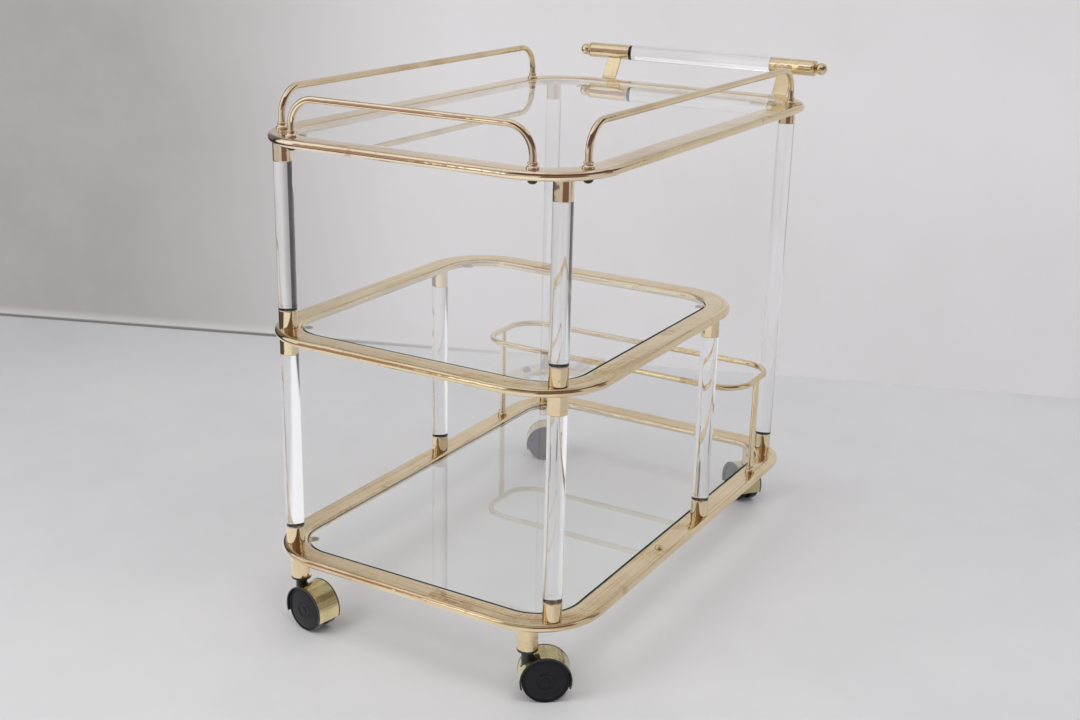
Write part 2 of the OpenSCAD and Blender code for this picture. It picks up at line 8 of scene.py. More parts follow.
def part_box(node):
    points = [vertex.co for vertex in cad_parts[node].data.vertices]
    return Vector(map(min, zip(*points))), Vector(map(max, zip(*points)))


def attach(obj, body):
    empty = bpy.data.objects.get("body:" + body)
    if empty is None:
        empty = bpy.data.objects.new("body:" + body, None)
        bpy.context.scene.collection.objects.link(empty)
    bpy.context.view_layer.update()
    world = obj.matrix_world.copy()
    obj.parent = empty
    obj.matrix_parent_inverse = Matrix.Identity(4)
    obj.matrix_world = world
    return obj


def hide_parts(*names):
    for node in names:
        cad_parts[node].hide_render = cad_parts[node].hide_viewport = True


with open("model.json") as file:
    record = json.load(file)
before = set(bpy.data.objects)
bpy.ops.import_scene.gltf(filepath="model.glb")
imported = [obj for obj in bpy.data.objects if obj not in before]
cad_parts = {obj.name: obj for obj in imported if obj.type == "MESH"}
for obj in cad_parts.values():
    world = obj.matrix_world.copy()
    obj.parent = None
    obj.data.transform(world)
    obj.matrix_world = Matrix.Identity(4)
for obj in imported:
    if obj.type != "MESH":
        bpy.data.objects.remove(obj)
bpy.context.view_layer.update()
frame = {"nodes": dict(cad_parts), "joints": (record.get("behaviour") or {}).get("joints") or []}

cad = frame["nodes"]
scene = bpy.context.scene
MM = 0.001

# ---- Camera -------------------------------------------------------------------------
# Eye height of someone standing near the trolley's front left corner, looking down at
# it at 18 degrees.
eye = Vector((-1.81225, -1.0004, 0.9964))
eye_right = Vector((0.50664, -0.86189, 0.02136))
eye_up = Vector((0.26248, 0.17780, 0.94841))
eye_back = Vector((-0.82123, -0.47490, 0.31631))
lens = bpy.data.cameras.new("camera")
lens.sensor_width = 36
lens.lens = 48.26
lens.clip_start = 0.05
lens.clip_end = 60
camera = bpy.data.objects.new("camera", lens)
scene.collection.objects.link(camera)
eye_turn = Matrix((eye_right, eye_up, eye_back)).transposed().to_4x4()
camera.matrix_world = Matrix.Translation(eye) @ eye_turn
scene.camera = camera
scene.view_settings.view_transform = "Standard"


# ---- Room ---------------------------------------------------------------------------
# A pale painted floor and a plain wall behind the trolley, in soft daylight. The rest of
# the room stands on two round screens that only metal and clear plastic show.
class Signal:
    """A socket of a shader tree, so that shader maths reads as plain arithmetic."""

    def __init__(self, tree, socket=None):
        self.tree, self.socket = tree, socket

    def add(self, kind, inputs=None, output=0, **settings):
        """The output of a new node. Colours are given as (red, green, blue)."""
        made = self.tree.nodes.new(kind)
        for name, value in settings.items():
            setattr(made, name, value)
        for name, value in (inputs or {}).items():
            if isinstance(value, Signal):
                self.tree.links.new(value.socket, made.inputs[name])
            else:
                is_colour = made.inputs[name].type == "RGBA"
                made.inputs[name].default_value = (*value, 1) if is_colour else value
        return Signal(self.tree, made.outputs[output] if made.outputs else None)

    def maths(self, operation, first, second):
        return self.add("ShaderNodeMath", {0: first, 1: second}, operation=operation)

    def __add__(self, other):
        return self.maths("ADD", self, other)

    __radd__ = __add__

    def __sub__(self, other):
        return self.maths("SUBTRACT", self, other)

    def __rsub__(self, other):
        return self.maths("SUBTRACT", other, self)

    def __mul__(self, other):
        return self.maths("MULTIPLY", self, other)

    __rmul__ = __mul__

    def __truediv__(self, other):
        return self.maths("DIVIDE", self, other)

    def either(self, other):
        """The larger of the two."""
        return self.maths("MAXIMUM", self, other)

    def step(self, low, high, out_low=0.0, out_high=1.0):
        """Smooth rise from out_low to out_high as this goes from low to high."""
        return self.add("ShaderNodeMapRange", {
            "Value": self, "From Min": low, "From Max": high,
            "To Min": out_low, "To Max": out_high}, interpolation_type="SMOOTHSTEP")

    def between(self, low, high, soft):
        """1 from low to high and 0 outside, with soft ends."""
        return self.step(low - soft, low + soft) * self.step(high - soft, high + soft, 1.0, 0.0)

    def mix(self, low, high):
        """Colour low where this is 0 and high where it is 1."""
        return self.add("ShaderNodeMix", {"Factor": self, 6: low, 7: high},
            output=2, data_type="RGBA")

    def noise(self, scale, detail=2.0, roughness=0.5):
        return self.add("ShaderNodeTexNoise", {
            "Vector": self, "Scale": scale, "Detail": detail, "Roughness": roughness})

    def axis(self, index):
        return self.add("ShaderNodeSeparateXYZ", {"Vector": self}, output=index)

    def towards(self, way):
        """How far this point lies along a level direction."""
        return self.axis(0) * way[0] + self.axis(1) * way[1]

    def point(self):
        """The shaded point, in its object's own axes."""
        return self.add("ShaderNodeTexCoord", output=3)

    def ray(self, kind):
        """1 for one kind of ray, such as Glossy, and 0 for the others."""
        return self.add("ShaderNodeLightPath", output=f"Is {kind} Ray")

    def back(self):
        """1 on the back of a face and 0 on its front."""
        return self.add("ShaderNodeNewGeometry", output="Backfacing")

    def glow(self, colour):
        return self.add("ShaderNodeEmission", {"Color": colour})

    def clear(self, colour=(1, 1, 1)):
        return self.add("ShaderNodeBsdfTransparent", {"Color": colour})

    def principled(self, inputs):
        return self.add("ShaderNodeBsdfPrincipled", inputs)

    def blend(self, share, first, second):
        """The second shader's share over the first."""
        return self.add("ShaderNodeMixShader", {0: share, 1: first, 2: second})

    def show(self, surface):
        """Ends a material's tree with its surface."""
        self.add("ShaderNodeOutputMaterial", {"Surface": surface})


def emptied(owner):
    """A Signal on the emptied tree of a material or a world."""
    owner.use_nodes = True
    owner.node_tree.nodes.clear()
    return Signal(owner.node_tree)


def new_material(name):
    material = bpy.data.materials.new(name)
    return material, emptied(material)


def backdrop(name, corners, material):
    mesh = bpy.data.meshes.new(name)
    mesh.from_pydata(corners, [], [(0, 1, 2, 3)])
    mesh.materials.append(material)
    obj = bpy.data.objects.new(name, mesh)
    scene.collection.objects.link(obj)


wall_foot = Vector((0.7225, 0.696, 0))
wall_along = Vector((0.347, -0.938, 0)).normalized()
viewer_way, right_way, window_way = (-0.862, -0.507), (0.507, -0.862), (-0.823, 0.567)
curtain_dark = (0.04, 0.035, 0.04)


def curtained(shade, along, colour, dark):
    """Darkens what lies left of the view, where only metal and plastic show it."""
    mirrored = shade.ray("Glossy").either(shade.ray("Transmission"))
    return (along.step(-1.32, -1.16, 1.0, 0.0) * mirrored).mix(colour, dark)


floor_half = 14
floor_paint, shade = new_material("floor_paint")
spot = shade.point()
along = spot.towards(wall_along)
mottle = spot.noise(1.3, 4) * 0.7 + spot.noise(9, 5, 0.6) * 0.3
colour = mottle.step(0.3, 0.7).mix((0.60, 0.60, 0.615), (0.665, 0.665, 0.675))
surface = shade.principled({
    "Base Color": curtained(shade, along, colour, curtain_dark),
    "Roughness": 0.55, "Specular IOR Level": 0.3})
# metal mirrors the floor by the window as brighter than the rest, and dark by the viewer
sunlit = spot.towards(window_way).step(0.10, 0.34) * along.step(-1.3, -1.1)
surface = shade.blend(sunlit * shade.ray("Glossy") * 0.75, surface, shade.glow((0.98, 0.98, 1.0)))
to_viewer, to_right = spot.towards(viewer_way), spot.towards(right_way)
shaded = to_viewer.step(1.75, 2.1) * (to_right + to_viewer * 0.2).step(-0.08, 0.08)
shade.show(shade.blend(shaded * shade.ray("Glossy"), surface, shade.glow((0.17, 0.09, 0.07))))
backdrop("floor", [(-floor_half, -floor_half, 0), (floor_half, -floor_half, 0),
    (floor_half, floor_half, 0), (-floor_half, floor_half, 0)], floor_paint)

# the wall is seen from the trolley's side only; it has painted shade towards its left end and is
# darker towards its top; a painted shadow line shows a gap under the left end of its skirting
wall_half, wall_height = 9, 3.2
plaster, shade = new_material("wall_plaster")
spot = shade.point()
along, height = spot.towards(wall_along), spot.axis(2)
# painted shade: darker towards the left end
colour = along.step(-1.15, -0.35).mix((0.405, 0.385, 0.38), (0.76, 0.745, 0.76))
colour = (spot.noise(2.6, 5, 0.6).step(0.3, 0.7) * 0.25).mix(colour, (0.64, 0.62, 0.625))
colour = (height.step(0.55, 1.3) * 0.30).mix(colour, (0.25, 0.235, 0.235))
fade = along.step(-0.75, -0.05, 1.0, 0.0)
# painted shadow line of the gap under the skirting, with a paler line above it
colour = (height.step(0.03, 0.008) * fade * 0.5).mix(colour, (0.76, 0.75, 0.74))
colour = (height.step(0.009, 0.004) * fade * 0.8).mix(colour, (0.12, 0.11, 0.11))
dark = height.step(0.35, 0.6).mix(curtain_dark, (0.17, 0.16, 0.165))
surface = shade.principled({
    "Base Color": curtained(shade, along, colour, dark),
    "Roughness": 0.8, "Specular IOR Level": 0.2})
shade.show(shade.blend(shade.back(), surface, shade.clear()))
far_left, far_right = wall_foot - wall_half * wall_along, wall_foot + wall_half * wall_along
rise = Vector((0, 0, wall_height))
backdrop("wall", [far_left, far_right, far_right + rise, far_left + rise], plaster)

# what stands round the trolley, far off and close by: bearings in degrees to the right of
# the viewer, heights in metres, and colours
soft_edge, hard_edge = 4, 0.5
far_off = [
    (-200, -108, 0.0, 2.4, (0.05, 0.045, 0.05)),
    (-104, -73, 0.3, 5.0, (0.98, 0.98, 1.0)),
    (-73, -58, 0.40, 2.8, (0.50, 0.36, 0.36)),
    (-71, -58.5, 0.66, 1.15, (0.32, 0.11, 0.07)),
    (-57.5, -52.5, 0.3, 6.1, (1.5, 1.5, 1.5)),
    (-50, -9, 1.1, 2.6, (0.24, 0.21, 0.20)),
    (-9, 52, -0.6, 2.6, (0.20, 0.12, 0.10)),
    (80, 104, 0.0, 3.0, (0.26, 0.19, 0.17))]
close_by = [
    (-52, -44, 0.95, 1.6, (0.34, 0.31, 0.30)),
    (-42, 100, 0.82, 1.6, (0.12, 0.07, 0.06))]


def bearing_of(spot):
    """Degrees to the right of the viewer, as seen from the middle of the trolley."""
    angle = spot.maths("ARCTAN2", spot.towards(right_way), spot.towards(viewer_way))
    return angle * math.degrees(1)


def screen(name, radius, height, material):
    """A round wall that only metal and clear plastic show."""
    bpy.ops.object.select_all(action="DESELECT")
    bpy.ops.mesh.primitive_cylinder_add(vertices=96, radius=radius, depth=height,
        end_fill_type="NOTHING", location=(0, 0, height / 2))
    bpy.ops.object.transform_apply()
    made = bpy.context.object
    made.name = name
    made.data.materials.append(material)
    made.visible_camera = made.visible_diffuse = made.visible_shadow = False


far_look, shade = new_material("far_surroundings")
spot = shade.point()
height, bearing = spot.axis(2), bearing_of(spot)
colour = height.step(0.0, 2.6).mix((0.56, 0.55, 0.54), (0.78, 0.77, 0.77))
for left, right, foot, top, paint in far_off:
    # the edges are crisp on the window's side
    edge = soft_edge if left > -50 else hard_edge
    mask = bearing.between(left, right, edge) * height.between(foot, top, 0.08)
    colour = mask.mix(colour, paint)
shade.show(shade.glow(colour))
screen("far_surroundings", radius=3.2, height=6, material=far_look)

near_look, shade = new_material("near_surroundings")
spot = shade.point()
height, bearing = spot.axis(2), bearing_of(spot)
colour, solid = (0.5, 0.5, 0.5), 0.0
for left, right, foot, top, paint in close_by:
    mask = bearing.between(left, right, soft_edge) * height.between(foot, top, 0.06)
    colour, solid = mask.mix(colour, paint), mask.either(solid)
shade.show(shade.blend(solid, shade.clear(), shade.glow(colour)))
screen("near_surroundings", radius=0.95, height=3.4, material=near_look)

# daylight for matt surfaces, and the ceiling for the rays that see or mirror it
scene.world = bpy.data.worlds.new("daylight")
shade = emptied(scene.world)
way = shade.add("ShaderNodeTexCoord", output=0)
ceiling = way.axis(2).step(0.0, 0.9).mix((0.66, 0.65, 0.645), (0.84, 0.84, 0.85))
dim_side = way.towards(right_way).step(-0.25, 0.35) * (1 - shade.ray("Camera"))
ceiling = shade.add("ShaderNodeBackground", {
    "Color": dim_side.mix(ceiling, (0.50, 0.47, 0.46)), "Strength": 1.0})
daylight = shade.add("ShaderNodeBackground", {"Color": (0.98, 0.985, 1.0), "Strength": 0.80})
looks = shade.ray("Camera").either(shade.ray("Glossy")).either(shade.ray("Transmission"))
shade.add("ShaderNodeOutputWorld", {"Surface": shade.blend(looks, daylight, ceiling)})


def lamp(name, place, side, watts, colour):
    """A square lamp that faces the trolley and shows in no metal."""
    data = bpy.data.lights.new(name, "AREA")
    data.size = side
    data.energy = watts
    data.color = colour
    obj = bpy.data.objects.new(name, data)
    scene.collection.objects.link(obj)
    obj.visible_glossy = False
    obj.location = place
    obj.rotation_euler = (-Vector(place)).to_track_quat("-Z", "Y").to_euler()


lamp("window", place=(-2.4, 1.0, 2.4), side=1.6, watts=30, colour=(1.0, 0.99, 0.97))
lamp("ceiling_lamp", place=(-0.8, -1.4, 3.0), side=1.4, watts=22, colour=(1.0, 0.98, 0.95))

# ---- Frames -------------------------------------------------------------------------
# Three closed loops of flat-oval brass tube, bent and brazed, then polished by hand.
# Faint brown lines painted along the tube stand in for the streaky reflections of its faces, and
# the polish is worn and speckled.
brass, shade = new_material("polished_brass")
spot = shade.point()
across = shade.add("ShaderNodeAttribute", output="Fac", attribute_name="across")
# painted reflection: faint brown streaks along the tube
streak_space = shade.add("ShaderNodeCombineXYZ", {
    0: spot.axis(0) * 5 + spot.axis(1) * 3, 1: spot.axis(1) * 5 - spot.axis(0) * 2,
    2: across * 260})
painted_streaks = streak_space.noise(1.0, 3, 0.6).step(0.46, 0.68)
patchy = spot.noise(11, 5, 0.6).step(0.35, 0.75)
specks = spot.noise(190, 2).step(0.67, 0.73)
smudge = spot.noise(17, 3, 0.55).step(0.62, 0.70) * spot.noise(120, 3).step(0.35, 0.6)
colour = patchy.mix((0.83, 0.695, 0.465), (0.755, 0.61, 0.38))
colour = (painted_streaks * (patchy * 0.6 + 0.35)).mix(colour, (0.55, 0.38, 0.21))
# the top frame's front bar has a painted sheen, and the bottom one's is painted darker and browner
front_bar = spot.axis(0).step(-0.28, -0.38)
painted_sheen = front_bar * spot.axis(2).step(0.5, 0.6) * 0.5
darker_browner = front_bar * spot.axis(2).step(0.2, 0.15) * (patchy * 0.3 + 0.1)
colour = painted_sheen.mix(colour, (0.97, 0.83, 0.66))
colour = darker_browner.mix(colour, (0.58, 0.41, 0.235))
colour = (specks * 0.30).mix(colour, (0.34, 0.20, 0.10))
colour = (smudge * 0.45).mix(colour, (0.42, 0.26, 0.15))
rough = spot.noise(26, 4, 0.65).step(0.3, 0.8, 0.06, 0.14) + specks * 0.12 + smudge * 0.12
ripple = shade.add("ShaderNodeBump", {
    "Height": spot.noise(22, 1) + spot.noise(70, 1) * 0.35, "Strength": 0.42, "Distance": 0.002})
surface = shade.principled({
    "Base Color": colour, "Metallic": 1.0, "Roughness": rough, "Normal": ripple})
shade.show(surface)


def finished(piece, body, material=None, replaces=()):
    """Names, paints and fixes a piece that is modelled in place."""
    piece.data.name = piece.name
    if material:
        piece.data.materials.clear()
        piece.data.materials.append(material)
    if replaces:
        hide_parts(*replaces)
    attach(piece, body)


def run(*step):
    """Carries the selected section straight on, in mm."""
    bpy.ops.mesh.extrude_region_move(TRANSFORM_OT_translate={"value": Vector(step) * MM})


def traced(name, points):
    """A chain of edges through the points, in mm, all selected in edit mode."""
    bpy.ops.object.select_all(action="DESELECT")
    bpy.ops.mesh.primitive_plane_add(size=MM)
    piece = bpy.context.object
    piece.name = name
    bpy.ops.object.mode_set(mode="EDIT")
    bpy.ops.mesh.select_mode(type="VERT")
    bpy.ops.mesh.merge(type="CENTER")
    bpy.ops.transform.translate(value=Vector(points[0]) * MM)
    for start, end in zip(points, points[1:]):
        run(*(Vector(end) - Vector(start)))
    bpy.ops.mesh.select_all(action="SELECT")
    return piece


def bend(centre, axis, degrees=90, steps=20):
    """Carries the selected section round a bend, right-handed about the axis."""
    bpy.ops.mesh.spin(steps=steps, angle=-math.radians(degrees),
        center=Vector(centre) * MM, axis=axis)


def closed(smooth):
    """Joins what meets, turns the faces outwards and leaves edit mode."""
    bpy.ops.mesh.select_all(action="SELECT")
    bpy.ops.mesh.remove_doubles(threshold=MM / 1000)
    bpy.ops.mesh.normals_make_consistent(inside=False)
    bpy.ops.object.mode_set(mode="OBJECT")
    bpy.ops.object.shade_smooth_by_angle(angle=math.radians(smooth))


def level_loop(name, section, low, high, inset, radius):
    """A closed level loop inside a box: section is (out, up) from the bar's middle, in mm."""
    low, high = low / MM, high / MM
    left, right, near, far = low.x + inset, high.x - inset, low.y + inset, high.y - inset
    level = (low.z + high.z) / 2
    length, width = right - left - 2 * radius, far - near - 2 * radius
    loop = traced(name, [(left + radius, near - out, level + up) for out, up in section])
    run(length, 0, 0)
    bend((right - radius, near + radius, level), (0, 0, 1))
    run(0, width, 0)
    bend((right - radius, far - radius, level), (0, 0, 1))
    run(-length, 0, 0)
    bend((left + radius, far - radius, level), (0, 0, 1))
    run(0, -width, 0)
    bend((left + radius, near + radius, level), (0, 0, 1))
    closed(60)
    # how far each point lies outside the bar's middle line, for the painted streaks
    middle = Vector((left + right, near + far)) / 2
    straight = Vector((length, width)) / 2
    offset = loop.data.attributes.new("across", "FLOAT", "POINT").data
    for vertex in loop.data.vertices:
        x = abs(vertex.co.x / MM - middle.x) - straight.x
        y = abs(vertex.co.y / MM - middle.y) - straight.y
        reach = math.hypot(max(x, 0), max(y, 0)) + min(max(x, y), 0)
        offset[vertex.index].value = (reach - radius) * MM
    return loop


# the tube's two faces have a crown of a quarter of a millimetre and the drawn lines, between
# round edges; lean is the faces' slope where they meet the edges
frames = ["top_frame", "middle_frame", "bottom_frame"]
tube_w, tube_t, bend_r, crown = 36, 12, 79, 0.25
lean = math.atan(0.04)
round_r = (tube_t / 2 - crown) / math.cos(lean)
face_half = tube_w / 2 - round_r + round_r * math.sin(lean)
face_steps, edge_steps = 24, 16
tube = []
for side in (1, -1):
    for step in range(-face_steps, face_steps + 1):
        share = step / face_steps
        out = share * face_half
        wave = 0.02 * math.sin(out * 1.19 + 0.5) + 0.012 * math.sin(out * 2.03 + 2)
        up = tube_t / 2 - crown * share ** 2 + wave * (1 - share ** 4)
        tube.append((side * out, side * up))
    for step in range(1, edge_steps):
        angle = math.pi / 2 - lean - (math.pi - 2 * lean) * step / edge_steps
        tube.append((side * (face_half - round_r * math.sin(lean) + round_r * math.cos(angle)),
            side * round_r * math.sin(angle)))
tube.append(tube[0])
for name in frames:
    low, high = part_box(name)
    loop = level_loop(name + "_tube", tube, low, high, tube_w / 2, bend_r)
    finished(loop, "trolley", brass, [name])


# ---- Shelf tabs ---------------------------------------------------------------------
# Four small brass tongues brazed inside each frame's corners, below the glass, with a
# thin olive felt pad on each. The glass lies on the pads.
def copied(pattern, names, places):
    """Copies of a pattern at each place, each with a mesh of its own; the pattern goes."""
    made = []
    for name, place in zip(names, places):
        piece = pattern.copy()
        piece.data = pattern.data.copy()
        piece.name = name
        piece.data.transform(place)
        scene.collection.objects.link(piece)
        made.append(piece)
    bpy.data.objects.remove(pattern)
    return made


def choose(piece, element, wanted):
    """Selects a mesh's vertices, edges or faces that pass a test, and goes to edit mode."""
    kinds = {"vertices": "VERT", "edges": "EDGE", "polygons": "FACE"}
    bpy.ops.object.mode_set(mode="EDIT")
    bpy.ops.mesh.select_mode(type=kinds[element])
    bpy.ops.mesh.select_all(action="DESELECT")
    bpy.ops.object.mode_set(mode="OBJECT")
    for item in getattr(piece.data, element):
        item.select = wanted(item)
    bpy.ops.object.mode_set(mode="EDIT")


def ends(piece, edge):
    return [piece.data.vertices[index].co for index in edge.vertices]


def add_box(name, size, centre):
    bpy.ops.object.select_all(action="DESELECT")
    bpy.ops.mesh.primitive_cube_add(size=1, location=centre)
    bpy.ops.transform.resize(value=size)
    bpy.ops.object.transform_apply()
    piece = bpy.context.object
    piece.name = name
    return piece


# a tab reaches this far out of its tube and laps this far into it
tab_reach, tab_lap, tab_side, tab_t, tab_corner_r = 14, 4.2, 14, 1.6, 6.5
tab_angle = math.radians(60)
glass_t, glass_drop, pad_t = 5, 1, 1
tab = add_box("shelf_tab", Vector((tab_reach + tab_lap, tab_side, tab_t)) * MM,
    Vector(((tab_lap - tab_reach) / 2, 0, -tab_t / 2)) * MM)
choose(tab, "edges", lambda edge: all(end.x < 0 for end in ends(tab, edge))
    and ends(tab, edge)[0].y == ends(tab, edge)[1].y)
bpy.ops.mesh.bevel(offset=tab_corner_r * MM, segments=8)
bpy.ops.object.mode_set(mode="OBJECT")
bpy.ops.object.shade_smooth_by_angle(angle=math.radians(35))
corners = [(side_x, side_y) for side_x in (-1, 1) for side_y in (-1, 1)]
tab_places, tab_names = [], []
for frame_name in frames:
    low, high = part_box(frame_name)
    centre = (low + high) / 2
    inset = (tube_w / 2 + bend_r) * MM
    for number, (side_x, side_y) in enumerate(corners):
        place = Vector((centre.x + side_x * ((high.x - low.x) / 2 - inset),
            centre.y + side_y * ((high.y - low.y) / 2 - inset),
            high.z - (glass_drop + glass_t + pad_t) * MM))
        angle = math.atan2(side_y * math.sin(tab_angle), side_x * math.cos(tab_angle))
        tab_places.append(Matrix.Translation(place) @ Matrix.Rotation(angle, 4, "Z")
            @ Matrix.Translation(((bend_r - tube_w / 2) * MM, 0, 0)))
        tab_names.append(f"{frame_name.split('_')[0]}_tab_{number + 1}")
for piece in copied(tab, tab_names, tab_places):
    finished(piece, "trolley", brass, ["shelf_tabs"])


def held(outline, long_run=1.5, reach=0.4):
    """The outline with a point just inside both ends of long runs, which keeps them flat."""
    points = [outline[0]]
    for start, end in zip(outline, outline[1:]):
        start, step = Vector(start), Vector(end) - Vector(start)
        if step.length > long_run:
            points += [start + step.normalized() * reach, Vector(end) - step.normalized() * reach]
        points.append(end)
    return points


def turned(name, outline, steps=96, smooth=35):
    """A piece turned about the z axis: outline is its (radius, height) all round, in mm."""
    piece = traced(name, [(radius, 0, height) for radius, height in held(outline)])
    bpy.ops.mesh.spin(steps=steps, angle=math.tau, center=(0, 0, 0), axis=(0, 0, 1))
    closed(smooth)
    return piece


felt, shade = new_material("olive_felt")
spot = shade.point()
surface = shade.principled({
    "Base Color": spot.noise(700, 3).step(0.3, 0.7).mix((0.13, 0.13, 0.095), (0.19, 0.185, 0.14)),
    "Roughness": 0.9})
shade.show(surface)
pad_r, pad_margin = 5, 1
pad = turned("shelf_pad", [
    (0, 0), (pad_r, 0), (pad_r, 0.7 * pad_t), (0.9 * pad_r, pad_t), (0, pad_t)], 32)
pad_shift = Matrix.Translation(((pad_margin + pad_r - tab_reach) * MM, 0, 0))
pad_places = [place @ pad_shift for place in tab_places]
for piece in copied(pad, [name.replace("tab", "pad") for name in tab_names], pad_places):
    finished(piece, "trolley", felt, ["shelf_pads"])

# ---- Glass shelves ------------------------------------------------------------------
# Plates of clear float glass with ground and polished edges, cut to the frames. Light
# goes straight through them, and their edges show the green of the glass, darkened by painted
# shade.
def lets_light_by(shade, surface):
    """Light and matt surfaces' rays go straight through; the rest meets the surface."""
    passing = shade.ray("Shadow").either(shade.ray("Diffuse"))
    shade.show(shade.blend(passing, surface, shade.clear()))


plate_glass, shade = new_material("plate_glass")
reflected = shade.add("ShaderNodeFresnel", {"IOR": 1.52})
# the share that both faces of the plate reflect together
share = reflected * 2 / (reflected + 1) * (1 - shade.back())
mirror = shade.add("ShaderNodeBsdfGlossy", {"Color": (1, 1, 1), "Roughness": 0.0})
lets_light_by(shade, shade.blend(share, shade.clear((0.985, 0.993, 0.989)), mirror))

# ground edges are painted dark green from outside, the glass's own green with painted shade, and
# the bottom plate's upper lip from inside too; the edges that the window lights are clear
edge_glass, shade = new_material("glass_edge")
green_and_shade = shade.principled({"Base Color": (0.035, 0.085, 0.065), "Roughness": 0.15})
lets_light_by(shade, shade.blend(shade.back(), green_and_shade, shade.clear((0.90, 0.96, 0.93))))
lip_glass, shade = new_material("glass_lip")
lets_light_by(shade, shade.principled({"Base Color": (0.03, 0.07, 0.055), "Roughness": 0.15}))


def is_level(piece, edge):
    start, end = ends(piece, edge)
    return abs(start.z - end.z) < MM


glass_corner_r, arris, lip = 60, 0.5, 1.3
front, left, right = (-1, 0), (0, -1), (0, 1)
dark_edges = {
    "top_glass": [], "middle_glass": [front, left], "bottom_glass": [front, left, right]}
for name, sides in dark_edges.items():
    low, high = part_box(name)
    plate = add_box(name + "_plate", high - low, (low + high) / 2)
    choose(plate, "edges", lambda edge: not is_level(plate, edge))
    bpy.ops.mesh.bevel(offset=glass_corner_r * MM, segments=24)
    choose(plate, "edges", lambda edge: is_level(plate, edge))
    bpy.ops.mesh.bevel(offset=arris * MM, segments=1)
    bpy.ops.mesh.select_all(action="SELECT")
    bpy.ops.mesh.bisect(plane_co=(0, 0, high.z - lip * MM), plane_no=(0, 0, 1))
    bpy.ops.object.mode_set(mode="OBJECT")
    for material in (plate_glass, edge_glass, lip_glass):
        plate.data.materials.append(material)
    edge_slot, lip_slot = 1, 2
    for face in plate.data.polygons:
        if abs(face.normal.z) < 0.5 and any(face.normal.to_2d().dot(side) > 0.5 for side in sides):
            is_lip = name == "bottom_glass" and face.center.z > high.z - lip * MM
            face.material_index = lip_slot if is_lip else edge_slot
    bpy.ops.object.shade_smooth_by_angle(angle=math.radians(35))
    finished(plate, "trolley", None, [name])

# ---- Posts --------------------------------------------------------------------------
# Solid cast acrylic rods, polished clear, with a tenon turned on each end that is glued
# into a ferrule.
acrylic, shade = new_material("clear_acrylic")
surface = shade.principled({
    "Base Color": (1, 1, 1), "Roughness": 0.0, "Transmission Weight": 1.0, "IOR": 1.49})
shade.show(shade.blend(shade.ray("Shadow"), surface, shade.clear((0.93, 0.93, 0.93))))


def paint_cad(material, *names):
    """Gives CAD nodes that keep their own shape a finish."""
    for name in names:
        for slot in cad[name].material_slots:
            slot.material = material


posts = [name for name in cad if name.endswith("_post")]
paint_cad(acrylic, *posts)

# ---- Ferrules -----------------------------------------------------------------------
# Turned brass cups on both ends of every post. The post is glued into the open end, and
# a hidden steel stud pulls the closed end against its frame.
ferrule_r, ferrule_l, tenon_l, tenon_r, glue = 12.5, 24.5, 10, 10, 0.1
mouth, cup_floor, bore = ferrule_l - 0.05, ferrule_l - tenon_l - glue, tenon_r + glue
ferrule = turned("ferrule", [
    (0, 0), (ferrule_r - 0.4, 0), (ferrule_r, 0.4), (ferrule_r, mouth - 0.5),
    (ferrule_r - 0.15, mouth - 0.15), (ferrule_r - 0.5, mouth), (bore, mouth),
    (bore, cup_floor), (0, cup_floor)])
ferrule_names, ferrule_places = [], []
for name in posts:
    low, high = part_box(name)
    centre = (low + high) / 2
    seat = (ferrule_l - tenon_l) * MM
    ferrule_names += [name + "_foot", name + "_head"]
    ferrule_places += [Matrix.Translation((centre.x, centre.y, low.z - seat)),
        Matrix.Translation((centre.x, centre.y, high.z + seat)) @ Matrix.Rotation(math.pi, 4, "X")]
for piece in copied(ferrule, ferrule_names, ferrule_places):
    finished(piece, "trolley", brass, ["post_ferrules"])

# The studs and their button heads under the bottom frame are zinc-plated steel.
steel, shade = new_material("zinc_steel")
spot = shade.point()
surface = shade.principled({
    "Base Color": spot.noise(90, 3).step(0.3, 0.7).mix((0.50, 0.50, 0.51), (0.62, 0.62, 0.63)),
    "Metallic": 1.0, "Roughness": spot.noise(60, 3).step(0.3, 0.7, 0.25, 0.4)})
shade.show(surface)
paint_cad(steel, "post_studs")

